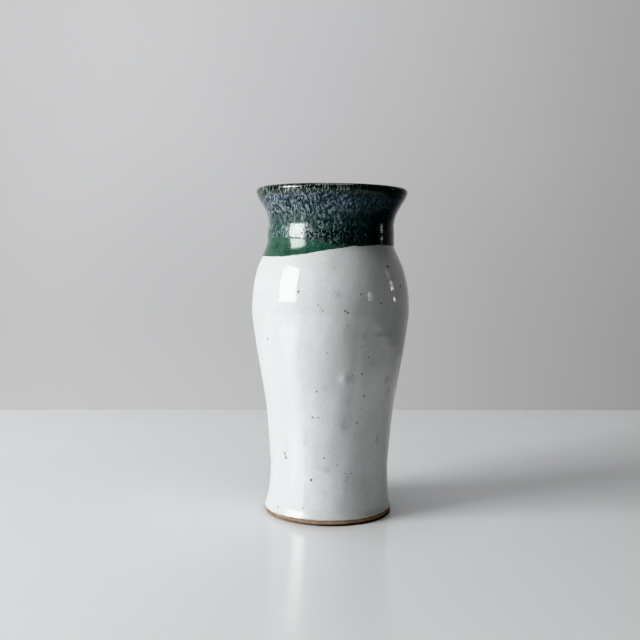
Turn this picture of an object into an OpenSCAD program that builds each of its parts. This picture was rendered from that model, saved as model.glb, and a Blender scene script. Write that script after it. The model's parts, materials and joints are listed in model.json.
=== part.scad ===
// Wheel-thrown stoneware vase: one fired clay body under four fused coats of glaze.
// Millimetres, +Z up. The origin is the middle of the face that the foot stands on.

/* [Silhouette of the clay] */
// Height from the foot to the top of the glazed lip
vase_h = 190; // [160:1:220]
// Diameter at the top of the bare foot
foot_d = 74.8; // [71:0.1:80]
// Diameter of the low waist above the foot
waist_d = 69; // [66:0.1:70.5]
// Diameter of the belly at its widest
belly_d = 92; // [84:0.1:104]
// Diameter of the neck at its narrowest
neck_d = 71.8; // [66:0.1:78]
// Diameter of the flared mouth at the lip
mouth_d = 86.5; // [80:0.1:100]

/* [Wall and foot] */
// Thickness of the thrown wall
wall_t = 4.5; // [3.5:0.1:6]
// Thickness of the clay at the rounded lip
lip_t = 2.8; // [2:0.1:3.4]
// Thickness of the floor
floor_t = 6; // [4:0.5:10]
// Radius where the floor turns up into the wall
corner_r = 14; // [8:1:18]
// Height of the bare clay below the glaze
bare_h = 3; // [2:0.5:5]
// How far the bare clay steps in towards the table
bevel_w = 1; // [0.5:0.1:2]
// Width of the ring that the foot stands on
ring_w = 6; // [4:0.5:10]
// Depth of the trimmed recess inside that ring
recess_d = 2; // [1:0.5:4]

/* [Glaze] */
// Thickness of the white coats, outside and inside
white_t = 0.4; // [0.3:0.05:0.6]
// Thickness of the green coat on the collar
green_t = 0.25; // [0.2:0.05:0.4]
// Thickness of the mottled coat over the green
mottle_t = 0.25; // [0.2:0.05:0.4]
// Depth of the green coat's lower edge below the lip, on the axis
green_drop = 35.5; // [30:0.5:42]
// Tilt of that edge, up towards +X, in degrees
green_tilt = 5.8; // [0:0.1:6]
// Depth of the mottled coat's lower edge below the lip, on the axis
mottle_drop = 30; // [22:0.5:30]
// Tilt of that edge, up towards +Y, in degrees
mottle_tilt = 3.6; // [0:0.1:4]
// Depth that the green coat reaches down inside the mouth
green_inside = 10; // [6:0.5:16]
// Depth that the mottled coat reaches down inside the mouth
mottle_inside = 6; // [4:0.5:10]

/* [Hidden] */
$fn = 144;

foot_r = foot_d / 2;
waist_r = waist_d / 2;
belly_r = belly_d / 2;
neck_r = neck_d / 2;
mouth_r = mouth_d / 2;

// The lip is a half round, and the coats follow it.
green_out = white_t + green_t;
mottle_out = green_out + mottle_t;
lip_r = lip_t / 2;
lip_x = mouth_r - lip_r;
lip_z = vase_h - lip_r - mottle_out;
lip_steps = 8;

// The wall thins over this height below the lip.
thinning_h = 0.15 * vase_h;

// The clay's silhouette from foot to lip: height and radius.
function between(a, b, share) = a + (b - a) * share;
stations = [
    [bare_h, foot_r],
    [0.05 * vase_h, between(waist_r, foot_r, 0.3)],
    [0.15 * vase_h, waist_r],
    [0.3 * vase_h, between(waist_r, belly_r, 0.16)],
    [0.46 * vase_h, between(waist_r, belly_r, 0.6)],
    [0.64 * vase_h, belly_r],
    [0.72 * vase_h, between(neck_r, belly_r, 0.8)],
    [0.78 * vase_h, between(neck_r, belly_r, 0.41)],
    [0.83 * vase_h, between(neck_r, belly_r, 0.06)],
    [0.89 * vase_h, neck_r],
    [0.94 * vase_h, between(neck_r, mouth_r, 0.34)],
    [lip_z, mouth_r]
];
last = len(stations) - 1;

// Slope of the silhouette at a station. It stands upright where it meets the lip's round.
function slope(i) =
    let (lower = stations[max(i - 1, 0)], upper = stations[min(i + 1, last)])
    i == last ? 0 : (upper[1] - lower[1]) / (upper[0] - lower[0]);

function span_at(z, i = 0) =
    i == last - 1 || z < stations[i + 1][0] ? i : span_at(z, i + 1);

// Radius of the clay's outer face at a height, on a smooth curve through the stations.
function clay_r(z) =
    let (
        i = span_at(z),
        lower = stations[i],
        upper = stations[i + 1],
        h = upper[0] - lower[0],
        t = (z - lower[0]) / h,
        rise = t * t * (3 - 2 * t)
    )
    between(lower[1], upper[1], rise)
    + h * slope(i) * t * (1 - t) * (1 - t)
    - h * slope(i + 1) * t * t * (1 - t);

function wall_at(z) =
    let (s = min(1, (lip_z - z) / thinning_h))
    between(lip_t, wall_t, s * s * (3 - 2 * s));

// All coats share these rows of heights, so they meet the clay and each other exactly.
rows = 64;
row_h = (lip_z - bare_h) / rows;
function row_z(i) = bare_h + row_h * i;
function row_near(z) = round((z - bare_h) / row_h);

// The floor turns up into the wall on a quarter round that ends on a row.
floor_z = recess_d + floor_t;
corner_row = row_near(floor_z + corner_r);
corner_z = row_z(corner_row);
turn_r = corner_z - floor_z;
corner_x = clay_r(corner_z) - wall_at(corner_z) - turn_r;
corner_steps = 8;

// Stretches of a section at distance t outside the clay. "from" and "to" are rows.
function reverse(list) = [for (i = [len(list) - 1 : -1 : 0]) list[i]];
function outer_face(t, from) =
    [for (i = [from : rows]) [clay_r(row_z(i)) + t, row_z(i)]];
function lip_round(t, start, end) =
    [for (i = [0 : lip_steps])
        let (a = between(start, end, i / lip_steps))
        [lip_x + (lip_r + t) * cos(a), lip_z + (lip_r + t) * sin(a)]];
function inner_face(t, to) =
    [for (i = [rows : -1 : to]) [clay_r(row_z(i)) - wall_at(row_z(i)) - t, row_z(i)]];
function floor_turn(t) =
    [for (i = [1 : corner_steps])
        let (a = 90 * i / corner_steps)
        [corner_x + (turn_r - t) * cos(a), corner_z - (turn_r - t) * sin(a)]];
function inside(t) =
    concat(inner_face(t, corner_row), floor_turn(t), [[0, floor_z + t]]);
function over_lip(t, from, to) =
    concat(outer_face(t, from), lip_round(t, 0, 180), inner_face(t, to));

// A closed coat between two sections.
module coat(far, near) {
    rotate_extrude()
        polygon(concat(far, reverse(near)));
}

// Everything above a plane through the axis at height z.
module above(z, tilt_x, tilt_y) {
    side = 2 * mouth_d;
    translate([0, 0, z])
        rotate([tilt_x, tilt_y, 0])
            translate([-side / 2, -side / 2, 0])
                cube([side, side, vase_h]);
}

// Thrown wall, floor, trimmed foot ring and its bare bevel.
module clay_body() {
    contact_r = foot_r - bevel_w;
    ring_r = contact_r - ring_w;
    foot = [
        [0, recess_d],
        [ring_r - recess_d, recess_d],
        [ring_r, 0],
        [contact_r, 0],
        [contact_r + 0.7 * bevel_w, 0.4 * bare_h]
    ];
    color("#9c7b63")
        rotate_extrude()
            polygon(concat(foot, over_lip(0, 0, corner_row), floor_turn(0), [[0, floor_z]]));
}

// White glaze outside, from its rolled edge above the foot to the crown of the lip.
module white_glaze() {
    rolled_edge = [[clay_r(bare_h + white_t) + white_t, bare_h + white_t]];
    color("#e6e9ea")
        coat(
            concat(rolled_edge, outer_face(white_t, 1), lip_round(white_t, 0, 90)),
            concat(outer_face(0, 0), lip_round(0, 0, 90))
        );
}

// White glaze inside, from the crown of the lip down over the floor.
module liner_glaze() {
    color("#dfe2e0")
        coat(
            concat(lip_round(white_t, 90, 180), inside(white_t)),
            concat(lip_round(0, 90, 180), inside(0))
        );
}

// A dipped coat that runs over the lip, cut below along its tilted edge.
module dipped_coat(far_t, near_t, drop, inside_drop, tilt_x, tilt_y) {
    spare = mouth_r * tan(max(abs(tilt_x), abs(tilt_y))) + 2 * row_h;
    from = row_near(vase_h - drop - spare);
    to = row_near(vase_h - inside_drop);
    intersection() {
        coat(over_lip(far_t, from, to), over_lip(near_t, from, to));
        above(vase_h - drop, tilt_x, tilt_y);
    }
}

// Green glaze of the collar.
module green_glaze() {
    color("#2f5a48")
        dipped_coat(green_out, white_t, green_drop, green_inside, 0, -green_tilt);
}

// Mottled blue-white glaze over the green.
module mottled_glaze() {
    color("#74898a")
        dipped_coat(mottle_out, green_out, mottle_drop, mottle_inside, mottle_tilt, 0);
}

clay_body();
white_glaze();
liner_glaze();
green_glaze();
mottled_glaze();
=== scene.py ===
"""Looks of a wheel-thrown stoneware vase: white body, green and mottled collar, bare clay foot.

Everything is in metres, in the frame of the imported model: +Z up, the foot's middle at the origin,
the front towards -Y. A bearing is the angle round the pot from the front, positive towards +X.
"""
import json
import math
import random

import bpy
import numpy as np
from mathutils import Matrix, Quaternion, Vector
from mathutils.kdtree import KDTree


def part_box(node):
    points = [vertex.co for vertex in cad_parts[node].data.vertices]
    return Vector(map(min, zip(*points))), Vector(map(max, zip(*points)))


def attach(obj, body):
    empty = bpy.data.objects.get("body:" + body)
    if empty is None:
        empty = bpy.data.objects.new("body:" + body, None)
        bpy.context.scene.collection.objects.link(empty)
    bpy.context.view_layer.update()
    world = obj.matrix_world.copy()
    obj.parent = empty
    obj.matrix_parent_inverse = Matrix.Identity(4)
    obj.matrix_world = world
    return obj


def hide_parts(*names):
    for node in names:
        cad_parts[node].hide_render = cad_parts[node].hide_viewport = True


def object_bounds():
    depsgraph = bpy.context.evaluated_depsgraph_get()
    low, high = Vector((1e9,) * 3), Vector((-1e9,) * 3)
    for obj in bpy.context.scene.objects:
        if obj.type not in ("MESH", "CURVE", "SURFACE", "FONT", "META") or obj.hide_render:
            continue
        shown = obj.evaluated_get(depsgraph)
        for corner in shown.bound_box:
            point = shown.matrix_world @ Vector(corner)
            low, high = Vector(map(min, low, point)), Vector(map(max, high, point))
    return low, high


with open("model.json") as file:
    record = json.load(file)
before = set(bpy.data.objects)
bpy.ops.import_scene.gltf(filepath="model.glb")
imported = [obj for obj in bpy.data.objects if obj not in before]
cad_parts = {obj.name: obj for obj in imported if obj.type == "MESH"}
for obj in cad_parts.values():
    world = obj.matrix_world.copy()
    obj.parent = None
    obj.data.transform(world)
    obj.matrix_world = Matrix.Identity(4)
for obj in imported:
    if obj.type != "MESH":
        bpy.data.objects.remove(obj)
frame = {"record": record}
cad_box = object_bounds()

MM = 0.001
TURN = 2 * math.pi

# ------------------------------------------------------------------ sizes
# From the frame.
HEIGHT = cad_box[1][2]
BELLY_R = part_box("white_glaze")[1][0]
BARE_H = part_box("white_glaze")[0][2]
CLAY_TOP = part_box("clay_body")[1][2]
RING_MID_R = frame["record"]["mounts"][0]["pos_m"][0]

# Hidden thicknesses, as the CAD model has them.
WALL = 4.5 * MM
LIP_WALL = 2.8 * MM
FLOOR_Z = 8 * MM
CORNER_R = 14 * MM
RECESS = 2 * MM
RING_W = 6 * MM
CONTACT_R = RING_MID_R + RING_W / 2
WHITE_T = 0.4 * MM
GREEN_T = 0.25 * MM
MOTTLED_T = 0.25 * MM

# The lip: a half round of clay, with the coats over it.
LIP_CLAY_R = LIP_WALL / 2
LIP_Z = CLAY_TOP - LIP_CLAY_R

# The white coat's outline from foot to lip: share of the height, share of the belly's radius.
# It was measured on the photograph's silhouette by a scratch script, and then adjusted by hand.
OUTLINE = [
    (0.016, 0.811), (0.032, 0.786), (0.055, 0.772), (0.085, 0.760), (0.147, 0.749),
    (0.190, 0.759), (0.242, 0.774), (0.295, 0.793), (0.347, 0.821), (0.421, 0.875),
    (0.505, 0.936), (0.568, 0.976), (0.632, 1.000), (0.674, 0.993), (0.721, 0.963),
    (0.763, 0.913), (0.792, 0.859), (0.811, 0.824), (0.832, 0.797), (0.863, 0.784),
    (0.895, 0.777), (0.921, 0.802), (0.947, 0.856), (0.968, 0.908), (LIP_Z / HEIGHT, 0.942),
]

# Columns round the pot, and pitches of the rings along it.
COLUMNS = 400
ANGLES = np.arange(COLUMNS) * TURN / COLUMNS
BEARINGS = (ANGLES + TURN / 4 + math.pi) % TURN - math.pi
FINE = 0.85 * MM
WHITE_PITCH = 1.04 * FINE
COARSE = 4 * MM


def below_lip(millimetres):
    """The height so far below the top of the pot."""
    return HEIGHT - millimetres * MM


# ------------------------------------------------------------------ the pot's shape
def smooth(low, high, x):
    """0 below low, 1 above high, and a soft step between."""
    t = np.clip((np.asarray(x, float) - low) / (high - low), 0, 1)
    return t * t * (3 - 2 * t)


OUTLINE_Z = np.array([z for z, r in OUTLINE]) * HEIGHT
OUTLINE_R = np.array([r for z, r in OUTLINE]) * BELLY_R
OUTLINE_SLOPE = np.gradient(OUTLINE_R, OUTLINE_Z)
OUTLINE_SLOPE[-1] = 0


def white_radius(z):
    """Radius of the white coat's outer face: a smooth curve through the outline's stations."""
    z = np.clip(np.asarray(z, float), OUTLINE_Z[0], OUTLINE_Z[-1])
    i = np.clip(np.searchsorted(OUTLINE_Z, z, side="right") - 1, 0, len(OUTLINE) - 2)
    h = OUTLINE_Z[i + 1] - OUTLINE_Z[i]
    t = (z - OUTLINE_Z[i]) / h
    rise = t * t * (3 - 2 * t)
    bend = OUTLINE_SLOPE[i] * t * (1 - t) ** 2 - OUTLINE_SLOPE[i + 1] * t * t * (1 - t)
    return OUTLINE_R[i] + (OUTLINE_R[i + 1] - OUTLINE_R[i]) * rise + h * bend


LIP_X = OUTLINE_R[-1] - WHITE_T - LIP_CLAY_R


def wall_at(z):
    """Thickness of the clay wall, thinner towards the lip."""
    return LIP_WALL + (WALL - LIP_WALL) * smooth(0, 0.15 * HEIGHT, LIP_Z - z)


dice = random.Random(7)

# Slow waves round the pot: lobes, size, turns per metre of height, phase.
WAVES = [
    (lobes, size * MM, dice.uniform(-22, 22), dice.uniform(0, TURN))
    for lobes, size in [(2, 0.20), (3, 0.13), (4, 0.08), (6, 0.05), (9, 0.035), (14, 0.02)]
]

# Finger marks and lumps: bearing in degrees, then height, half width, half height and how far
# they stand out in millimetres. A groove stands out by less than nothing. Most places were picked
# by eye on the photograph and turned into bearing and height by a scratch script. Sizes are by hand.
MARKS = [
    (10.8, 83.5, 3.2, 2.9, 0.60), (19.5, 86, 2.6, 26, -0.17), (6, 66, 5.0, 11, 0.16),
    (2.5, 117, 1.8, 2.2, 0.16), (50, 46.6, 1.8, 2.5, -0.22), (13, 20, 2.5, 3.5, 0.16),
    (49, 26, 1.6, 1.6, 0.24), (75, 25, 2.0, 2.5, 0.35), (53, 80, 2.4, 2.8, -0.22),
    (-30, 97, 4.0, 7.0, 0.05), (-62, 60, 3.0, 4.0, 0.08), (38, 60, 3.5, 9.0, 0.06),
    (-0.5, 116.6, 1.8, 2.2, 0.12), (32.7, 91.5, 1.6, 2.0, -0.12), (13.5, 57, 2.4, 3.0, -0.16),
    (28, 108, 9, 12, -0.50), (-90, 165, 16, 6.5, 0.45), (90, 157, 14, 4.5, -0.45),
    (-90, 118, 16, 8, 0.40), (80, 81, 3.0, 3.0, -0.30),
]
LUMPS = [(math.radians(b), z * MM, w * MM, t * MM, size * MM) for b, z, w, t, size in MARKS]

# Small random lumps all round. About one in three is a hollow.
SMALL_LUMPS = 190
for _ in range(SMALL_LUMPS):
    half = dice.uniform(1.2, 4.0) * MM
    LUMPS.append((
        dice.uniform(-math.pi, math.pi),
        dice.uniform(0.04, 0.80) * HEIGHT,
        half,
        half * dice.uniform(0.9, 2.2),
        dice.choice([1, 1, -1]) * dice.uniform(0.012, 0.035) * half,
    ))

# The spiral left by the potter's fingers.
THROWING_PITCH = 6.5 * MM
THROWING_SIZE = 0.02 * MM

# Near the foot the form is truer: its unevenness starts at this share.
FOOT_UNEVEN = 0.3

# Where the form leans to the left of its axis: height, span, how far.
LEANS = [(0.79 * HEIGHT, 14 * MM, 0.25 * MM), (0.01 * HEIGHT, 7 * MM, 0.50 * MM)]


def turned(a, b):
    """The angle from b to a, the short way round."""
    return (a - b + math.pi) % TURN - math.pi


def hand_made(z):
    """How far a hand-thrown wall stands out from its even outline, at each bearing."""
    z = np.broadcast_to(np.asarray(z, float), BEARINGS.shape)
    out = np.zeros(COLUMNS)
    for lobes, size, twist, phase in WAVES:
        out += size * np.sin(lobes * BEARINGS + twist * TURN * z + phase)
    out += THROWING_SIZE * np.sin(TURN * z / THROWING_PITCH - BEARINGS)
    for bearing, height, half_w, half_h, size in LUMPS:
        if np.abs(height - z).min() < 3 * half_h:
            across = turned(BEARINGS, bearing) * BELLY_R / half_w
            out += size * np.exp(-across ** 2 - ((z - height) / half_h) ** 2)
    out *= FOOT_UNEVEN + (1 - FOOT_UNEVEN) * smooth(0, 0.05 * HEIGHT, z)
    for height, span, size in LEANS:
        out -= size * np.sin(BEARINGS) * np.exp(-((z - height) / span) ** 2)
    return out


def ring_at(radius, z):
    """Points round the pot at a radius and height, either the same all round or one per column."""
    radius = np.broadcast_to(radius, ANGLES.shape)
    z = np.broadcast_to(z, ANGLES.shape)
    return np.stack([radius * np.cos(ANGLES), radius * np.sin(ANGLES), z], axis=1)


def outside(z, lift):
    """A ring on the outside, lift metres out from the clay."""
    return ring_at(white_radius(z) - WHITE_T + lift + hand_made(z), z)


def lip(angle, lift):
    """A ring on the lip's round, from 0 outside to half a turn inside."""
    r = LIP_CLAY_R + lift
    z = LIP_Z + r * math.sin(angle)
    return ring_at(LIP_X + r * math.cos(angle) + hand_made(LIP_Z), z)


def inner_radius(z):
    """Radius of the clay's inner face, under the liner."""
    return white_radius(z) - WHITE_T - wall_at(z)


def inside(z, lift):
    """A ring on the inner wall, lift metres in from the clay."""
    return ring_at(inner_radius(z) - lift + hand_made(z), z)


# The middle of the round turn from the inner wall to the floor.
TURN_Z = FLOOR_Z + CORNER_R
TURN_X = float(inner_radius(TURN_Z)) - CORNER_R


def floor_turn(angle, lift):
    """A ring where the inner wall turns into the floor, from 0 at the wall to a quarter turn."""
    r = CORNER_R - lift
    swell = hand_made(TURN_Z) * math.cos(angle)
    return ring_at(TURN_X + r * math.cos(angle) + swell, TURN_Z - r * math.sin(angle))


def steps(start, end, pitch):
    """Even places from start to end, about pitch apart, both ends included."""
    count = max(2, round(abs(end - start) / pitch) + 1)
    return np.linspace(start, end, count)


def ripple(seed, size, lobes):
    """A seeded wavy line round the pot: size times a sum of a few waves of about so many lobes."""
    pick = random.Random(seed)
    out = np.zeros(COLUMNS)
    for n in lobes:
        out += pick.uniform(0.5, 1) * np.sin(n * BEARINGS + pick.uniform(0, TURN))
    return size * out / math.sqrt(len(lobes))


# ------------------------------------------------------------------ where the coats end
def bump_at(bearing_deg, width_deg):
    """1 at a bearing, falling to 0 on both sides over a width in degrees."""
    across = turned(BEARINGS, math.radians(bearing_deg))
    return np.exp(-(across / math.radians(width_deg)) ** 2)


# How far below the lip the collar's edges lie on average, how far the green one slants, and how
# far the mottled one sags at the front. At least a thin line of green shows below the mottling.
GREEN_DROP = 36.5 * MM
GREEN_SLANT = 4.0 * MM
MOTTLED_DROP = 30.7 * MM
MOTTLED_SAG = 3.2 * MM
LEAST_GREEN = 0.45 * MM

FOOT_EDGE = BARE_H + ripple(3, 0.16 * MM, [3, 5, 8, 13, 21, 34]) - 0.6 * MM * bump_at(-62, 32)

GREEN_EDGE = (
    HEIGHT - GREEN_DROP
    + GREEN_SLANT * (np.sin(BEARINGS) + 0.2 * np.sin(3 * BEARINGS))
    + ripple(5, 0.13 * MM, [7, 11, 19, 31, 47])
    + 0.9 * MM * bump_at(-4, 17)
    + 0.7 * MM * bump_at(17, 5)
)

MOTTLED_EDGE = (
    HEIGHT - MOTTLED_DROP
    - 1.4 * MM * np.sin(BEARINGS)
    - MOTTLED_SAG * bump_at(10, 19)
    - 1.4 * MM * bump_at(40, 20)
    + ripple(9, 0.42 * MM, [9, 16, 27, 43, 66, 92])
)
MOTTLED_EDGE = np.maximum(MOTTLED_EDGE, GREEN_EDGE + LEAST_GREEN)

GREEN_INSIDE = below_lip(10) + ripple(11, 0.5 * MM, [2, 5, 9, 17])
MOTTLED_INSIDE = below_lip(6) + ripple(13, 0.5 * MM, [3, 7, 12, 23])


def bead(distance, thickness, width):
    """Thickness of a coat near its edge: a rolled quarter round."""
    t = np.clip(distance / width, 0, 1)
    return thickness * np.sqrt(1 - (1 - t) ** 2)


BREAK_Z = below_lip(7)


def thin_at_lip(z):
    """Glaze runs thin over an edge, so the collar's coats thin out towards the lip."""
    return 1 - 0.3 * smooth(BREAK_Z, LIP_Z, z)


# ------------------------------------------------------------------ meshes
UV_HIDDEN = 0.02          # margin of the map, whose corner the hidden faces share
UV_SPOT = 0.01            # side of that corner
UV_FILL = 0.985           # share of each strip's height that is used


class Shell:
    """A closed skin of rings round the pot, laid from first to last."""

    def __init__(self):
        self.rings = []
        self.shown = []
        self.values = []

    def add(self, ring, shown, value=0.0):
        """shown says if the stretch up to the next ring can be seen. value is kept per point."""
        self.rings.append(ring)
        self.shown.append(shown)
        self.values.append(np.broadcast_to(value, ANGLES.shape))

    def faces(self, capped):
        """Quads between neighbouring rings. Capped ends close onto a middle point each."""
        rows = len(self.rings)
        last = rows - 1 if capped else rows
        quads = []
        for i in range(last):
            k = (i + 1) % rows
            for j in range(COLUMNS):
                n = (j + 1) % COLUMNS
                quads.append((i * COLUMNS + j, i * COLUMNS + n, k * COLUMNS + n, k * COLUMNS + j))
        if capped:
            first, end = rows * COLUMNS, rows * COLUMNS + 1
            top = (rows - 1) * COLUMNS
            for j in range(COLUMNS):
                n = (j + 1) % COLUMNS
                quads.append((n, j, first))
                quads.append((top + j, top + n, end))
        return quads

    def heights_along(self):
        """How far each ring is along the section, counting only what shows, from 0 to 1."""
        middles = [ring.mean(axis=0) for ring in self.rings]
        radii = [np.linalg.norm(ring[0, :2]) for ring in self.rings]
        along = [0.0]
        for i in range(1, len(self.rings)):
            step = math.hypot(radii[i] - radii[i - 1], middles[i][2] - middles[i - 1][2])
            along.append(along[-1] + (step if self.shown[i - 1] else 0))
        return np.array(along) / max(along[-1], 1e-6)

    def uvs(self, mesh, capped, strips):
        """Shown faces fill the map in stacked strips. The hidden ones share a small corner."""
        layer = mesh.uv_layers.new(name="OFBake")
        along = self.heights_along()
        rows = len(self.rings)
        per_strip = COLUMNS // strips
        room = 1 - 2 * UV_HIDDEN
        flat = []
        last = rows - 1 if capped else rows
        for i in range(last):
            for j in range(COLUMNS):
                if not self.shown[i]:
                    flat += [0.0, 0.0, UV_SPOT, 0.0, UV_SPOT, UV_SPOT, 0.0, UV_SPOT]
                    continue
                strip, place = divmod(j, per_strip)
                strip = min(strip, strips - 1)
                u0 = UV_HIDDEN + room * place / per_strip
                u1 = UV_HIDDEN + room * (place + 1) / per_strip
                low = UV_HIDDEN + room * strip / strips
                tall = room / strips * UV_FILL
                v0 = low + tall * along[i]
                v1 = low + tall * along[min(i + 1, rows - 1)]
                flat += [u0, v0, u1, v0, u1, v1, u0, v1]
        if capped:
            flat += [0.0, 0.0, UV_SPOT, 0.0, UV_SPOT / 2, UV_SPOT] * (2 * COLUMNS)
        layer.data.foreach_set("uv", flat)

    def build(self, name, node, material, capped=False, strips=1):
        """Makes the piece that stands for a CAD node and takes its slot's finish."""
        points = np.concatenate(self.rings)
        values = np.concatenate(self.values)
        if capped:
            ends = [self.rings[0].mean(axis=0), self.rings[-1].mean(axis=0)]
            points = np.concatenate([points, ends])
            values = np.concatenate([values, [0.0, 0.0]])
        mesh = bpy.data.meshes.new(name)
        mesh.from_pydata(points.tolist(), [], self.faces(capped))
        mesh.validate()
        mesh.shade_smooth()
        self.uvs(mesh, capped, strips)
        kept = mesh.attributes.new("from_edge", "FLOAT", "POINT")
        kept.data.foreach_set("value", values)
        mesh.materials.append(material)
        piece = bpy.data.objects.new(name, mesh)
        bpy.context.scene.collection.objects.link(piece)
        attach(piece, "root")
        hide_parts(node)
        return piece


SUNK = 0.05 * MM          # how far a coat's hidden back lies in the layer under it
UNDER_COLLAR = 1.5 * MM   # how far the white coat's close rings go up under the green one
HIDDEN_RINGS = 12         # rings of the white coat above that
ROLL = 0.12 * MM          # thicker roll of glaze just above the white coat's edge
ROLL_Z = 1.0 * MM
ROLL_SPAN = 0.9 * MM
EDGE_STEPS = np.array([0.0, 0.04, 0.10, 0.2, 0.35, 0.6]) * MM


def stretch(low, high, pitch):
    """Rings between two wavy edges: close together near the low one, then even."""
    near = [low + step for step in EDGE_STEPS]
    start = low + EDGE_STEPS[-1]
    count = max(2, round(float(np.mean(high - start)) / pitch))
    return near + [start + (high - start) * i / count for i in range(1, count + 1)]


def lip_angles(count):
    """Angles for lip(), from outside to inside, without the ends."""
    return [math.pi * i / count for i in range(1, count)]


def white_coat(material):
    """White glaze outside. Under the collar it is hidden, so its rings are far apart there."""
    shell = Shell()
    covered = GREEN_EDGE + UNDER_COLLAR
    for z in stretch(FOOT_EDGE, covered, WHITE_PITCH):
        height = z - FOOT_EDGE
        roll = ROLL * np.exp(-((height - ROLL_Z) / ROLL_SPAN) ** 2)
        shell.add(outside(z, bead(height, WHITE_T, 0.5 * MM) + roll), True, height)
    shell.shown[-1] = False
    for i in range(1, HIDDEN_RINGS + 1):
        z = covered + (LIP_Z - covered) * i / HIDDEN_RINGS
        shell.add(outside(z, WHITE_T - 2 * SUNK), False)
    for i in range(1, 5):
        shell.add(lip(math.pi / 2 * i / 4, WHITE_T - 2 * SUNK), False)
    for i in range(4, -1, -1):
        shell.add(lip(math.pi / 2 * i / 4, 0), False)
    for z in steps(LIP_Z - COARSE, 2 * BARE_H, COARSE):
        shell.add(outside(z, -SUNK), False)
    shell.add(outside(FOOT_EDGE, -SUNK), False)
    return shell.build("white_glaze_coat", "white_glaze", material)


def collar_coat(low, inner, covered, thickness, bead_w):
    """A dipped coat: up from its wavy lower edge, over the lip and down inside.

    covered is the thickness of collar glaze that it lies on.
    """
    shell = Shell()
    top = np.full(COLUMNS, LIP_Z)

    def under(z):
        return WHITE_T + covered * thin_at_lip(z)

    def lift(distance, z):
        return under(z) + bead(distance, thickness, bead_w) * thin_at_lip(z)

    for z in stretch(low, top, FINE):
        shell.add(outside(z, lift(z - low, z)), True, z - low)
    over_lip = float(lift(LIP_Z, LIP_Z))
    for angle in lip_angles(12):
        shell.add(lip(angle, over_lip), True, LIP_Z - low)
    down = stretch(inner, top, FINE)
    for z in reversed(down):
        shell.add(inside(z, lift(z - inner, z)), True, z - inner)
    shell.shown[-1] = False
    for z in (down[0], down[len(down) // 2], down[-1]):
        shell.add(inside(z, under(z) - SUNK), False)
    for angle in reversed(lip_angles(6)):
        shell.add(lip(angle, float(under(LIP_Z)) - SUNK), False)
    for i in range(5, -1, -1):
        z = low + (top - low) * i / 5
        shell.add(outside(z, under(z) - SUNK), False)
    return shell


def green_coat(material):
    """The green dip, straight on the white coat."""
    shell = collar_coat(GREEN_EDGE, GREEN_INSIDE, 0, GREEN_T, 0.35 * MM)
    return shell.build("green_glaze_coat", "green_glaze", material, strips=2)


def mottled_coat(material):
    """The blue-white dip, over the green one."""
    shell = collar_coat(MOTTLED_EDGE, MOTTLED_INSIDE, GREEN_T, MOTTLED_T, 0.6 * MM)
    return shell.build("mottled_glaze_coat", "mottled_glaze", material, strips=4)


def liner_coat(material):
    """White glaze inside, from the crown of the lip down over the floor."""
    shell = Shell()
    for i in range(4, 9):
        shell.add(lip(math.pi * i / 8, WHITE_T), False)
    for z in steps(LIP_Z - COARSE, float(GREEN_INSIDE.max()) + 1 * MM, COARSE):
        shell.add(inside(z, WHITE_T), False)
    for z in steps(float(GREEN_INSIDE.max()), TURN_Z, 1.6 * FINE):
        shell.add(inside(z, WHITE_T), True)
    for i in range(1, 13):
        shell.add(floor_turn(math.pi / 2 * i / 12, WHITE_T), True)
    for share in (0.8, 0.6, 0.4, 0.2, 0.05):
        shell.add(ring_at(TURN_X * share, FLOOR_Z + WHITE_T), True)
    shell.shown[-1] = False
    for share in (0.05, 0.5, 1.0):
        shell.add(ring_at(TURN_X * share, FLOOR_Z - SUNK), False)
    for i in range(11, 0, -2):
        shell.add(floor_turn(math.pi / 2 * i / 12, -SUNK), False)
    for z in steps(TURN_Z, LIP_Z, COARSE):
        shell.add(inside(z, -SUNK), False)
    for i in range(7, 3, -1):
        shell.add(lip(math.pi * i / 8, 0), False)
    return shell.build("liner_glaze_coat", "liner_glaze", material)


# The foot: the ring that it stands on, a dome in its recess, chips in its edge, and how many
# millimetres the ring lies to the right and to the front of the pot's axis.
STANDING_R = CONTACT_R - 0.6 * MM
STANDING_FLAT = 1.5 * MM
DOME = 0.5 * MM
CHIP = 0.10 * MM
SLIP_MM = (0.3, 1.3)
CLAY_UNDER_GLAZE = 0.6 * MM
EDGE_LIFT = 0.04 * MM

# Its bare side from the standing ring up: share of the way out, share of the way up.
UNDERCUT = [
    (0, 0), (0.35, 0.03), (0.62, 0.08), (0.82, 0.15), (0.94, 0.24), (1.00, 0.36), (1.02, 0.54),
    (1.01, 0.72), (0.97, 0.86), (0.80, 1),
]


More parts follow.
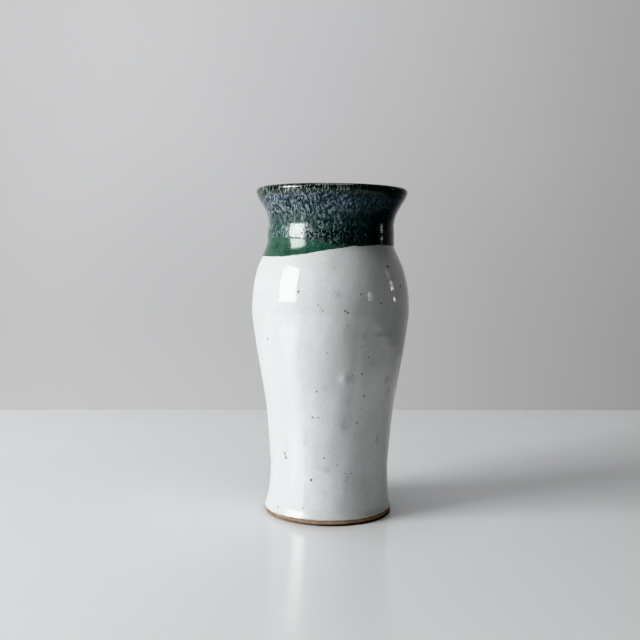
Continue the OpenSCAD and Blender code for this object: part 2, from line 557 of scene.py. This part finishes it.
def clay_pot(material):
    """The fired body: recess, foot ring and bevel show, the rest is under glaze."""
    shell = Shell()
    ring_in = CONTACT_R - RING_W
    bevel_top = float(white_radius(BARE_H)) - WHITE_T
    chip = ripple(17, CHIP, [4, 9, 17, 29, 46])
    slip = MM * (SLIP_MM[0] * np.sin(BEARINGS) + SLIP_MM[1] * np.cos(BEARINGS))
    bare_top = FOOT_EDGE + CLAY_UNDER_GLAZE
    for share in (0.04, 0.2, 0.4, 0.6, 0.8, 0.95):
        dome = DOME * (1 - share ** 2)
        shell.add(ring_at((ring_in - RECESS) * share, RECESS + dome), True)
    for i in range(7):
        a = math.pi / 2 * i / 6
        shell.add(ring_at(ring_in - RECESS + RECESS * math.sin(a), RECESS * math.cos(a)), True)
    shell.add(ring_at(ring_in + 0.6 * MM, 0), True)
    shell.add(ring_at(RING_MID_R, 0), True)
    shell.add(ring_at(STANDING_R - STANDING_FLAT, 0), True)
    for out, up in UNDERCUT:
        radius = STANDING_R + (bevel_top - STANDING_R + hand_made(BARE_H)) * out
        radius += (chip * out + slip) * (1 - up)
        shell.add(ring_at(radius, bare_top * up if up else EDGE_LIFT), True)
    for z in steps(2 * BARE_H, LIP_Z, COARSE):
        shell.add(outside(z, 0), False)
    for angle in lip_angles(8):
        shell.add(lip(angle, 0), False)
    for z in steps(LIP_Z, TURN_Z, COARSE):
        shell.add(inside(z, 0), False)
    for i in range(1, 9):
        shell.add(floor_turn(math.pi / 2 * i / 8, 0), False)
    shell.add(ring_at(TURN_X * 0.5, FLOOR_Z), False)
    shell.add(ring_at(TURN_X * 0.05, FLOOR_Z), False)
    return shell.build("thrown_clay_body", "clay_body", material, capped=True)


# ------------------------------------------------------------------ iron specks in the white glaze
# Bearing in degrees and height in millimetres. The specks and the stains below were picked by eye on
# the photograph, and a scratch script turned the points into these numbers. Some were moved one by
# one.
STRONG = [
    (-23, 131), (47, 145), (59, 134), (24.6, 85.8), (29, 73), (24.3, 57.7), (-46, 38),
    (-45, 35.5), (-17, 25),
]
MIDDLING = [
    (20, 130), (36, 125), (9, 121), (11, 120), (22, 101), (29, 95), (-11, 76), (17, 85), (28, 66),
    (-15, 61), (-5, 38), (-53, 6), (-78, 109), (-52.5, 103.7),
]
FAINT = [
    (31, 143), (-9, 124), (-6, 121), (11, 113), (-62, 98), (-66, 91), (24, 107), (-3, 98), (-10, 61),
    (-63, 51), (7, 34), (-24, 9), (44, 92), (19.5, 32.5), (15, 29), (20.5, 29), (16.5, 24),
    (17.5, 27), (14, 25), (-37, 112),
]
# Each kind's places, smallest and largest radius in millimetres, and darkness.
SPECK_KINDS = [(STRONG, 0.58, 0.68, 1.0), (MIDDLING, 0.46, 0.56, 0.80), (FAINT, 0.36, 0.46, 0.5)]
BACK_SPECKS = 80

# Soft grey spots: bearing in degrees, height and radius in millimetres, darkness. Some are stains;
# those in hollows and beside a lump on its side away from the light are painted shade.
STAIN_AND_SHADE_SPOTS = [
    (4, 130, 2.4, 0.32), (24, 107, 1.8, 0.45), (33, 92, 2.0, 0.40), (53, 81, 2.6, 0.50),
    (50, 46.6, 2.0, 0.60), (-2, 31, 2.6, 0.34), (-24, 46, 2.4, 0.16), (15, 70, 3.0, 0.20),
    (15, 61, 2.8, 0.24), (14, 56, 2.4, 0.36), (15, 83, 2.6, 0.36), (57, 74, 2.0, 0.50),
]
FAINT_SMUDGES = 60


def speck_list():
    """Every speck as bearing, height, radius and darkness."""
    found = []
    for places, small, large, tone in SPECK_KINDS:
        for bearing, height in places:
            found.append((math.radians(bearing), height * MM, dice.uniform(small, large) * MM, tone))
    for _ in range(BACK_SPECKS):
        side = dice.uniform(math.radians(85), math.radians(275))
        found.append((
            turned(side, 0),
            dice.uniform(0.03, 0.80) * HEIGHT,
            dice.uniform(0.38, 0.60) * MM,
            dice.choice([1.0, 0.75, 0.4, 0.4]),
        ))
    return found


def stain_and_shade_list():
    """Soft grey stains and painted shade as bearing, height, radius and darkness."""
    found = [(math.radians(b), z * MM, r * MM, tone) for b, z, r, tone in STAIN_AND_SHADE_SPOTS]
    for _ in range(FAINT_SMUDGES):
        found.append((
            dice.uniform(-math.pi, math.pi),
            dice.uniform(0.05, 0.78) * HEIGHT,
            dice.uniform(1.2, 3.5) * MM,
            dice.uniform(0.05, 0.22),
        ))
    return found


def on_white(bearing, height):
    """The place on the white coat at a bearing and height."""
    r = float(white_radius(height))
    return Vector((r * math.sin(bearing), -r * math.cos(bearing), height))


def mark_specks(piece, found):
    """Stores, at each point, the way from the nearest speck in units of its radius, and its tone."""
    tree = KDTree(len(found))
    for i, (bearing, height, radius, tone) in enumerate(found):
        tree.insert(on_white(bearing, height), i)
    tree.balance()
    ways, tones = [], []
    for vertex in piece.data.vertices:
        near = tree.find_n(vertex.co, 3)
        place, i, gap = min(near, key=lambda speck: speck[2] / found[speck[1]][2])
        ways += list((vertex.co - place) / found[i][2])
        tones.append(found[i][3])
    piece.data.attributes.new("speck_way", "FLOAT_VECTOR", "POINT").data.foreach_set("vector", ways)
    piece.data.attributes.new("speck_tone", "FLOAT", "POINT").data.foreach_set("value", tones)


def mark_stains_and_shade(piece, found):
    """Stores how much of the soft stains and painted shade each point has."""
    points = np.array([vertex.co for vertex in piece.data.vertices])
    stain = np.zeros(len(points))
    for bearing, height, radius, tone in found:
        away = np.linalg.norm(points - np.array(on_white(bearing, height)), axis=1)
        stain += tone * np.exp(-(away / radius) ** 2)
    piece.data.attributes.new("stain_and_shade", "FLOAT", "POINT").data.foreach_set("value", stain)


# ------------------------------------------------------------------ materials
class Graph:
    """A material's nodes, written as calls that return sockets."""

    def __init__(self, name):
        self.material = bpy.data.materials.new(name)
        self.material.use_nodes = True
        self.tree = self.material.node_tree
        self.shader = self.tree.nodes["Principled BSDF"]
        self.place = self.tree.nodes.new("ShaderNodeTexCoord").outputs["Object"]

    def node(self, kind, inputs=(), **settings):
        """A new node with its settings made and its inputs fed."""
        made = self.tree.nodes.new(kind)
        for key, value in settings.items():
            setattr(made, key, value)
        for key, value in dict(inputs).items():
            self.feed(made.inputs[key], value)
        return made

    def feed(self, socket, value):
        """Links a socket to an input, or sets the input to a plain value."""
        if isinstance(value, bpy.types.NodeSocket):
            self.tree.links.new(value, socket)
        else:
            socket.default_value = value

    def math(self, operation, a, b=0.0, c=0.0):
        """Arithmetic on up to three values."""
        return self.node("ShaderNodeMath", {0: a, 1: b, 2: c}, operation=operation).outputs[0]

    def scaled(self, factors, offset=(0, 0, 0)):
        """The place, stretched by a factor along each axis."""
        inputs = {0: self.place, 1: factors, 2: offset}
        return self.node("ShaderNodeVectorMath", inputs, operation="MULTIPLY_ADD").outputs[0]

    def noise(self, size, detail=2.0, rough=0.5, twist=0.0, squash=1.0, offset=(0, 0, 0)):
        """Noise with features about size metres wide, and size / squash tall."""
        vector = self.scaled((1, 1, squash), offset)
        inputs = {"Vector": vector, "Scale": 1 / size, "Detail": detail,
                  "Roughness": rough, "Distortion": twist}
        return self.node("ShaderNodeTexNoise", inputs).outputs["Fac"]

    def ramp(self, value, low, high, out_low=0.0, out_high=1.0):
        """value from low to high, as a soft step from out_low to out_high."""
        inputs = {"Value": value, "From Min": low, "From Max": high,
                  "To Min": out_low, "To Max": out_high}
        made = self.node("ShaderNodeMapRange", inputs, interpolation_type="SMOOTHSTEP")
        return made.outputs["Result"]

    def blend(self, share, a, b):
        """Number a, or b where share is 1."""
        return self.node("ShaderNodeMix", {0: share, 2: a, 3: b}, data_type="FLOAT").outputs[0]

    def mix(self, share, a, b):
        """Colour a, or b where share is 1."""
        made = self.node("ShaderNodeMix", data_type="RGBA")
        self.feed(made.inputs[0], share)
        self.feed(made.inputs[6], a)
        self.feed(made.inputs[7], b)
        return made.outputs[2]

    def axis(self, name):
        """The place along X, Y or Z."""
        return self.node("ShaderNodeSeparateXYZ", {0: self.place}).outputs[name]

    def attribute(self, name, output="Fac"):
        """A value that the mesh keeps at each point."""
        return self.node("ShaderNodeAttribute", attribute_name=name).outputs[output]

    def bump(self, height, size, under=None):
        """A bump of height times size metres, on top of another bump."""
        inputs = {"Height": height, "Distance": size, "Strength": 1.0}
        if under is not None:
            inputs["Normal"] = under
        return self.node("ShaderNodeBump", inputs).outputs["Normal"]

    def finish(self, color, roughness, normal, **uniform):
        """Feeds the shader. Uniform values are set on its own sockets by name."""
        self.feed(self.shader.inputs["Base Color"], color)
        self.feed(self.shader.inputs["Roughness"], roughness)
        self.feed(self.shader.inputs["Normal"], normal)
        for key, value in uniform.items():
            self.shader.inputs[key.replace("_", " ")].default_value = value
        return self.material


def rgb(red, green, blue):
    return (red, green, blue, 1.0)


WHITE = rgb(0.80, 0.825, 0.83)
WHITE_THIN = rgb(0.745, 0.775, 0.775)
WHITE_THICK = rgb(0.83, 0.85, 0.85)
WHITE_GRAIN = rgb(0.66, 0.69, 0.69)
WHITE_RUNS_AND_WARM_SHADE = rgb(0.74, 0.735, 0.70)
WHITE_BLOTCH_AND_SHADE = rgb(0.55, 0.56, 0.54)
WHITE_AT_FOOT = rgb(0.56, 0.50, 0.42)
IRON = rgb(0.022, 0.021, 0.018)
IRON_HALO = rgb(0.36, 0.355, 0.33)
STAIN_AND_SHADE_GREY = rgb(0.24, 0.25, 0.24)

# Painted shade: on the right the white coat is darker in a soft band at this height.
SHADE_BAND_Z = 0.53 * HEIGHT


def white_material():
    """Glossy white glaze: cloudy where it ran thin or thick, with iron specks and dust, and painted
    shade on its right side and at its lumps and hollows.
    """
    g = Graph("white_glaze_look")

    # Clouds, streaks and grain of thin and thick glaze.
    cloud = g.ramp(g.noise(16 * MM, 3, 0.55), 0.35, 0.65)
    streak = g.ramp(g.noise(5 * MM, 3, 0.5, squash=0.3), 0.40, 0.68)
    color = g.mix(cloud, WHITE_THIN, WHITE)
    color = g.mix(g.math("MULTIPLY", streak, 0.45), color, WHITE_THICK)
    grain = g.ramp(g.noise(1.8 * MM, 3, 0.65), 0.35, 0.65)
    color = g.mix(g.math("MULTIPLY", grain, 0.30), color, WHITE_GRAIN)

    # Painted shade: warmer, greyer and more blotched towards the right, the side away from the
    # light, with a darker band there.
    runs = g.ramp(g.noise(6 * MM, 2, 0.5, squash=0.22, offset=(2, 6, 1)), 0.46, 0.66)
    # Painted shade: warmer towards the right, with a little of the glaze's own runs.
    side = g.ramp(g.axis("X"), 6 * MM, 34 * MM, 0, 0.36)
    color = g.mix(g.math("MULTIPLY_ADD", runs, 0.12, side), color, WHITE_RUNS_AND_WARM_SHADE)
    blotch = g.ramp(g.noise(6 * MM, 4, 0.75, squash=0.6, offset=(1, 9, 3)), 0.38, 0.62)
    # Painted shade: the glaze's own blotches grow stronger towards the right.
    right = g.ramp(g.axis("X"), 2 * MM, 22 * MM, 0.02, 0.20)
    color = g.mix(g.math("MULTIPLY", blotch, right), color, WHITE_BLOTCH_AND_SHADE)
    z = g.axis("Z")
    from_band = g.math("ABSOLUTE", g.math("SUBTRACT", z, SHADE_BAND_Z))
    # Painted shade: a darker soft band at mid height, on the right only.
    shade_band = g.ramp(from_band, 6 * MM, 24 * MM, 0.6, 0)
    shade_band = g.math("MULTIPLY", shade_band, g.ramp(g.axis("X"), 0, 14 * MM))
    color = g.mix(shade_band, color, WHITE_BLOTCH_AND_SHADE)

    # Grey stains and painted shade at lumps and hollows, and the clay's tint at the foot's edge.
    ragged_stain_and_shade = g.ramp(g.noise(1.6 * MM, 3, 0.6, offset=(4, 4, 4)), 0.35, 0.65, 0.25, 1.0)
    color = g.mix(g.math("MULTIPLY", g.attribute("stain_and_shade"), ragged_stain_and_shade), color, STAIN_AND_SHADE_GREY)
    edge = g.attribute("from_edge")
    at_foot = g.ramp(edge, 0.0, 1.2 * MM, 1, 0)
    color = g.mix(g.math("MULTIPLY", at_foot, 0.45), color, WHITE_AT_FOOT)

    # Iron specks: a ragged dark core in a soft halo, and a fine dust between them.
    way = g.attribute("speck_way", "Vector")
    ragged = g.noise(0.7 * MM, 2, 0.6)
    reach = g.node("ShaderNodeVectorMath", {0: way}, operation="LENGTH").outputs["Value"]
    reach = g.math("ADD", reach, g.math("MULTIPLY_ADD", ragged, 0.7, -0.42))
    tone = g.attribute("speck_tone")
    halo = g.math("MULTIPLY", g.ramp(reach, 0.7, 1.9, 0.55, 0), tone)
    color = g.mix(halo, color, IRON_HALO)
    core = g.ramp(reach, 0.45, 1.05, 1, 0)
    color = g.mix(g.math("MULTIPLY", core, tone), color, IRON)
    dust = g.ramp(g.noise(0.9 * MM, 1, 0.5), 0.74, 0.79)
    color = g.mix(g.math("MULTIPLY", dust, 0.45), color, IRON_HALO)

    # Slow swells, a fine peel, and a dimple at each speck. The lower part is a little less glossy.
    normal = g.bump(g.noise(7 * MM, 2, 0.5, squash=0.6), 0.16 * MM)
    normal = g.bump(g.noise(2.6 * MM, 2, 0.5), 0.045 * MM, normal)
    normal = g.bump(g.math("MULTIPLY", core, -1.0), 0.04 * MM, normal)
    rough = g.ramp(g.noise(9 * MM, 4, 0.6), 0.3, 0.7, 0.05, 0.09)
    rough = g.math("ADD", rough, g.ramp(z, 0.35 * HEIGHT, 0.62 * HEIGHT, 0.13, 0))
    rough = g.math("MULTIPLY_ADD", core, 0.15, rough)
    return g.finish(color, rough, normal, IOR=1.8)


GREEN = rgb(0.050, 0.128, 0.086)
GREEN_DEEP = rgb(0.014, 0.046, 0.037)
GREEN_THIN = rgb(0.100, 0.172, 0.130)
GREEN_FLECK = rgb(0.160, 0.245, 0.215)


def green_color(g):
    """Translucent green: paler where thin at its edge, deeper where it pooled, and with painted
    light on the left and painted shade towards the right.
    """
    pooled = g.ramp(g.noise(6 * MM, 3, 0.6), 0.38, 0.66)
    # Painted light and shade: the ramp across X makes the green paler on the lit left and deeper
    # towards the shaded right.
    pooled = g.math("ADD", pooled, g.ramp(g.axis("X"), -30 * MM, 0.0, -0.35, 0.4))
    color = g.mix(pooled, GREEN, GREEN_DEEP)
    grain = g.ramp(g.noise(0.8 * MM, 2, 0.6), 0.35, 0.70)
    return g.mix(g.math("MULTIPLY", grain, 0.60), color, GREEN_THIN)


def green_material():
    """The green dip, with pale flecks where the mottled dip splashed it."""
    g = Graph("green_glaze_look")
    color = green_color(g)
    edge = g.attribute("from_edge")
    color = g.mix(g.ramp(edge, 0.1 * MM, 0.7 * MM, 0.55, 0), color, GREEN_THIN)
    flecks = g.ramp(g.noise(0.9 * MM, 1.5, 0.5, 1.0, squash=0.6), 0.55, 0.64)
    flecks = g.math("MULTIPLY", flecks, g.ramp(edge, 0.5 * MM, 3.5 * MM))
    flecks = g.math("MULTIPLY", flecks, g.ramp(g.axis("X"), -30 * MM, -6 * MM, 0.25, 0.8))
    color = g.mix(flecks, color, GREEN_FLECK)
    normal = g.bump(g.noise(2.2 * MM, 2, 0.5), 0.03 * MM)
    rough = g.ramp(g.noise(4 * MM, 3, 0.6), 0.3, 0.7, 0.11, 0.16)
    return g.finish(color, rough, normal, IOR=1.5)


VEIL_LOW = rgb(0.345, 0.460, 0.440)
VEIL_HIGH = rgb(0.280, 0.360, 0.405)
GAP_SHADED = rgb(0.003, 0.0045, 0.004)
GAP_LIT = rgb(0.014, 0.058, 0.048)
GAP_HIGH = rgb(0.011, 0.025, 0.031)
LIP_DARK = rgb(0.004, 0.011, 0.007)
LIP_BROWN = rgb(0.013, 0.019, 0.014)
LIP_PALE = rgb(0.350, 0.430, 0.390)


def mottled_material():
    """Blue-white veins that broke over dark green, and a brown-green break at the lip, with painted
    light on the left and painted shade towards the right.
    """
    g = Graph("mottled_glaze_look")
    z = g.axis("Z")
    up = g.ramp(z, below_lip(27), below_lip(13))
    edge = g.attribute("from_edge")

    # Veins: upright hairs above, flecks and worms below.
    hairs = g.ramp(g.noise(1.0 * MM, 1.5, 0.6, 0.5, squash=0.34), 0.42, 0.57)
    flecks = g.ramp(g.noise(0.90 * MM, 1.5, 0.5, 1.0, squash=0.75), 0.487, 0.618)
    worms = g.math("ABSOLUTE", g.math("SUBTRACT", g.noise(1.7 * MM, 1.0, 0.5, 1.2, squash=0.8), 0.5))
    worms = g.ramp(worms, 0.010, 0.045, 1, 0)
    lower = g.math("MAXIMUM", flecks, g.math("MULTIPLY", worms, 0.7))
    veins = g.blend(up, lower, hairs)

    # How dense they are: in patches, thinner towards the lower edge and the waist, and thinner
    # towards the right as painted shade.
    patches = g.ramp(g.noise(5 * MM, 2, 0.6, squash=0.7), 0.38, 0.56, 0.45, 1.0)
    each = g.ramp(g.noise(1.5 * MM, 1, 0.5, squash=0.5, offset=(5, 2, 4)), 0.38, 0.60, 0.3, 1.0)
    high = g.ramp(z, below_lip(26), below_lip(12))
    # Painted shade: far fewer pale veins towards the right, more on the lit left.
    thin = g.ramp(g.axis("X"), -12 * MM, 34 * MM, 1.35, g.blend(high, 0.04, 0.18))
    from_waist = g.math("ABSOLUTE", g.math("SUBTRACT", z, below_lip(17.5)))
    density = g.math("MULTIPLY", g.ramp(edge, 0.3 * MM, 8 * MM, 0.60, 1.0), patches)
    density = g.math("MULTIPLY", density, g.ramp(from_waist, 1 * MM, 5 * MM, 0.6, 1.0))
    density = g.math("MULTIPLY", density, thin)
    veil = g.math("MULTIPLY", g.math("MULTIPLY", veins, each), density)

    # Their colour over the gaps' colour: bluer above. The gaps have painted light on the left,
    # lighter and greener, and painted shade towards the right, near black.
    blue = g.ramp(z, below_lip(21), below_lip(8))
    light = g.mix(blue, VEIL_LOW, VEIL_HIGH)
    green_gap_lit_to_shaded = g.mix(g.ramp(g.axis("X"), -34 * MM, 2 * MM), GAP_LIT, GAP_SHADED)
    blue_gap_lit_to_shaded = g.mix(g.ramp(g.axis("X"), 4 * MM, 32 * MM, 0, 0.7), GAP_HIGH, GAP_SHADED)
    dark = g.mix(up, green_gap_lit_to_shaded, blue_gap_lit_to_shaded)
    color = g.mix(veil, dark, light)

    # The break at the lip, with pale hairs that fade towards the right as painted shade.
    above = g.ramp(g.math("ADD", z, g.math("MULTIPLY", g.noise(3 * MM, 3, 0.6), 2.2 * MM)),
                   below_lip(5.4), below_lip(3.6))
    brown = g.mix(g.ramp(g.noise(3.5 * MM, 3, 0.6), 0.4, 0.65), LIP_DARK, LIP_BROWN)
    pale = g.ramp(g.noise(0.85 * MM, 1.5, 0.5, squash=0.22), 0.52, 0.64)
    # Painted shade: the pale hairs fade out towards the right.
    pale = g.math("MULTIPLY", pale, g.ramp(g.axis("X"), -10 * MM, 34 * MM, 0.75, 0.05))
    brown = g.mix(pale, brown, LIP_PALE)
    color = g.mix(above, color, brown)

    # The veins stand out a little, and the upper part shines less.
    relief = g.math("MULTIPLY_ADD", veins, 0.6, g.noise(1.3 * MM, 2, 0.6))
    normal = g.bump(relief, 0.042 * MM)
    rough = g.math("MULTIPLY_ADD", veil, 0.06, g.ramp(g.noise(4 * MM, 3), 0.3, 0.7, 0.05, 0.08))
    matt = g.math("MULTIPLY", high, g.math("SUBTRACT", 1.0, above))
    g.feed(g.shader.inputs["Specular IOR Level"], g.ramp(matt, 0.0, 1.0, 0.62, 0.25))
    return g.finish(color, rough, normal, IOR=1.6)


CLAY = rgb(0.440, 0.315, 0.225)
CLAY_DARK = rgb(0.300, 0.195, 0.135)
CLAY_PALE = rgb(0.620, 0.500, 0.400)
CLAY_SHADOW = rgb(0.022, 0.014, 0.010)
CLAY_GRIT = rgb(0.06, 0.04, 0.03)
CLAY_TOASTED = rgb(0.26, 0.13, 0.07)


def clay_material():
    """Bare fired stoneware: sandy grain, dark grit, a toasted line on top, and a painted contact
    shadow along the bottom edge, strongest on the right.
    """
    g = Graph("bare_clay_look")
    blotch = g.ramp(g.noise(6 * MM, 4, 0.6), 0.35, 0.65)
    color = g.mix(blotch, CLAY, CLAY_DARK)
    sand = g.ramp(g.noise(0.45 * MM, 2, 0.7), 0.45, 0.70)
    color = g.mix(g.math("MULTIPLY", sand, 0.6), color, CLAY_PALE)
    grit = g.ramp(g.noise(0.8 * MM, 2, 0.5, offset=(3, 1, 2)), 0.66, 0.72)
    color = g.mix(g.math("MULTIPLY", grit, 0.8), color, CLAY_GRIT)
    toasted = g.ramp(g.axis("Z"), BARE_H - 0.9 * MM, BARE_H - 0.1 * MM, 0, 0.6)
    color = g.mix(toasted, color, CLAY_TOASTED)
    # Painted shadow: near black along the lowest two millimetres where the foot meets the table,
    # fading towards the lit left.
    painted_contact_shadow = g.ramp(g.axis("X"), -32 * MM, 12 * MM, 0.35, 0.97)
    painted_contact_shadow = g.math("MULTIPLY", g.ramp(g.axis("Z"), 0.8 * MM, 1.9 * MM, 1, 0), painted_contact_shadow)
    color = g.mix(painted_contact_shadow, color, CLAY_SHADOW)
    grooves = g.noise(0.5 * MM, 3, 0.6, squash=3.0)
    normal = g.bump(grooves, 0.12 * MM)
    normal = g.bump(sand, 0.05 * MM, normal)
    rough = g.ramp(g.noise(2 * MM, 3), 0.3, 0.7, 0.70, 0.90)
    return g.finish(color, rough, normal, IOR=1.45)


LINER_THIN = rgb(0.66, 0.69, 0.68)
LINER_THICK = rgb(0.76, 0.785, 0.78)
LINER_POOLED = rgb(0.55, 0.62, 0.60)


def liner_material():
    """White glaze inside: the same glaze, a little greyer, pooled towards the floor."""
    g = Graph("liner_glaze_look")
    cloud = g.ramp(g.noise(12 * MM, 3, 0.55), 0.35, 0.65)
    color = g.mix(cloud, LINER_THIN, LINER_THICK)
    pooled = g.ramp(g.axis("Z"), FLOOR_Z, FLOOR_Z + 18 * MM, 0.5, 0)
    color = g.mix(pooled, color, LINER_POOLED)
    dots = g.ramp(g.noise(1.6 * MM, 1, 0.5), 0.73, 0.77)
    color = g.mix(g.math("MULTIPLY", dots, 0.8), color, IRON)
    normal = g.bump(g.noise(3 * MM, 2, 0.5), 0.05 * MM)
    rough = g.ramp(g.noise(9 * MM, 3), 0.3, 0.7, 0.09, 0.16)
    return g.finish(color, rough, normal, IOR=1.5)


# ------------------------------------------------------------------ build the vase
white_piece = white_coat(white_material())
mark_specks(white_piece, speck_list())
mark_stains_and_shade(white_piece, stain_and_shade_list())
green_coat(green_material())
mottled_coat(mottled_material())
liner_coat(liner_material())
clay_pot(clay_material())

# ------------------------------------------------------------------ stage
TABLE_DARK = rgb(0.78, 0.79, 0.80)
TABLE_PALE = rgb(0.81, 0.82, 0.83)
TABLE_FAR = rgb(0.88, 0.89, 0.90)
WALL_DARK = rgb(0.86, 0.865, 0.875)
WALL_PALE = rgb(0.89, 0.895, 0.905)
ROOM_COLOR = rgb(0.55, 0.57, 0.60)
ROOM_GLOW = 0.005

TABLE_LOW = (-1.2, -0.9, -0.02)
TABLE_HIGH = (0.36, 0.3415, 0)
TABLE_TURN = math.radians(3.2)
WALL_Y = 1.30


def box_object(name, low, high, material, bevel=0.0, turn=0.0):
    """A box for the stage, turned about the vase's axis, with rounded edges if asked."""
    low, high = Vector(low), Vector(high)
    points = [(x, y, z) for z in (low.z, high.z) for y in (low.y, high.y) for x in (low.x, high.x)]
    sides = [(0, 2, 3, 1), (4, 5, 7, 6), (0, 1, 5, 4), (2, 6, 7, 3), (0, 4, 6, 2), (1, 3, 7, 5)]
    mesh = bpy.data.meshes.new(name)
    mesh.from_pydata(points, [], sides)
    mesh.materials.append(material)
    made = bpy.data.objects.new(name, mesh)
    made.rotation_euler.z = turn
    bpy.context.scene.collection.objects.link(made)
    if bevel:
        rounding = made.modifiers.new("rounding", "BEVEL")
        rounding.width = bevel
        rounding.segments = 4
    return made


def table_material():
    """A pale satin table top, paler towards its back edge."""
    g = Graph("table_look")
    color = g.mix(g.ramp(g.noise(0.4, 2), 0.35, 0.65), TABLE_DARK, TABLE_PALE)
    color = g.mix(g.ramp(g.axis("Y"), 0.02, 0.30), color, TABLE_FAR)
    normal = g.bump(g.noise(0.03, 2), 0.00002)
    rough = g.ramp(g.noise(0.05, 3), 0.3, 0.7, 0.15, 0.19)
    return g.finish(color, rough, normal, IOR=1.45, Specular_IOR_Level=0.24)


def wall_material():
    """Pale matt paint."""
    g = Graph("wall_look")
    color = g.mix(g.ramp(g.noise(0.6, 2), 0.3, 0.7), WALL_DARK, WALL_PALE)
    normal = g.bump(g.noise(0.01, 2), 0.0001)
    rough = g.ramp(g.noise(0.2, 3), 0.3, 0.7, 0.85, 0.95)
    return g.finish(color, rough, normal)


box_object("table", TABLE_LOW, TABLE_HIGH, table_material(), bevel=0.002, turn=TABLE_TURN)
box_object("wall", (-4, WALL_Y, -1), (4, WALL_Y + 0.02, 3), wall_material())


def soft_light(name, place, target, size, power, spread_deg=180):
    """A rectangular light at a place, turned to a target."""
    data = bpy.data.lights.new(name, "AREA")
    data.shape = "RECTANGLE"
    data.size, data.size_y = size
    data.energy = power
    data.spread = math.radians(spread_deg)
    light = bpy.data.objects.new(name, data)
    light.location = place
    light.rotation_euler = (Vector(target) - Vector(place)).to_track_quat("-Z", "Y").to_euler()
    light.visible_camera = False
    bpy.context.scene.collection.objects.link(light)


LIT_Z = 0.75 * HEIGHT     # the height that light_round's angles are seen from
BEAM_Z = 0.90 * HEIGHT    # where a narrow beam is aimed


def light_round(name, bearing_deg, distance, low_deg, high_deg, width_deg, power, beam_deg=180):
    """An upright light beside the vase, which the vase's middle sees at these angles.

    A narrow beam is aimed at the collar, so that it doesn't reach the foot.
    """
    bearing = math.radians(bearing_deg)
    low = distance * math.tan(math.radians(low_deg))
    high = distance * math.tan(math.radians(high_deg))
    size = (2 * distance * math.tan(math.radians(width_deg / 2)), high - low)
    z = LIT_Z + (low + high) / 2
    place = (distance * math.sin(bearing), -distance * math.cos(bearing), z)
    target = (0, 0, z) if beam_deg == 180 else (0, 0, BEAM_Z)
    soft_light(name, place, target, size, power, beam_deg)


# Bearing, distance in metres, lowest and highest angle, width in degrees, power, and beam. The
# powers began as a scratch script's fit to the photograph, and were then changed by hand.
light_round("window", -66, 1.3, 4, 33, 29, 24.3)
light_round("left_room", -108, 1.8, -5, 50, 50, 1.0)
light_round("far_lamp_high", 101, 1.6, 7.5, 13, 5, 0.0012, 10)
light_round("far_lamp_glow", 99, 1.6, 13, 25, 4, 0.0004, 12)
light_round("far_lamp_low", 102, 1.6, 2.0, 4.0, 2.5, 0.00035, 10)
light_round("small_lamp", 56.5, 1.8, 2.5, 8.5, 3, 0.0005, 10)
soft_light("ceiling", (0, -0.2, 2.2), (0, 0, 0), (1.2, 1.2), 13.4)
soft_light("wall_wash", (-0.8, 0.55, -1.2), (0.0, WALL_Y, 0.4), (2.4, 0.3), 14.2)

world = bpy.data.worlds.new("room")
world.use_nodes = True
world.node_tree.nodes["Background"].inputs["Color"].default_value = ROOM_COLOR
world.node_tree.nodes["Background"].inputs["Strength"].default_value = ROOM_GLOW
bpy.context.scene.world = world
bpy.context.scene.view_settings.view_transform = "Khronos PBR Neutral"

# ------------------------------------------------------------------ camera
# Found by a scratch script that fitted the vase's outline to the photograph, and then rounded.
CAMERA_PLACE = (-6.2 * MM, -0.514, 0.1483)
CAMERA_PITCH = 3.95
CAMERA_ROLL = 0.6
SENSOR_W = 36
LENS = 48.9
lens = bpy.data.cameras.new("camera")
lens.sensor_width = SENSOR_W
lens.lens = LENS
lens.clip_start = 0.01
lens.clip_end = 20
camera = bpy.data.objects.new("camera", lens)
camera.location = CAMERA_PLACE
camera.rotation_mode = "QUATERNION"
looking = Quaternion((1, 0, 0), math.radians(90 - CAMERA_PITCH))
camera.rotation_quaternion = looking @ Quaternion((0, 0, 1), math.radians(CAMERA_ROLL))
bpy.context.scene.collection.objects.link(camera)
bpy.context.scene.camera = camera
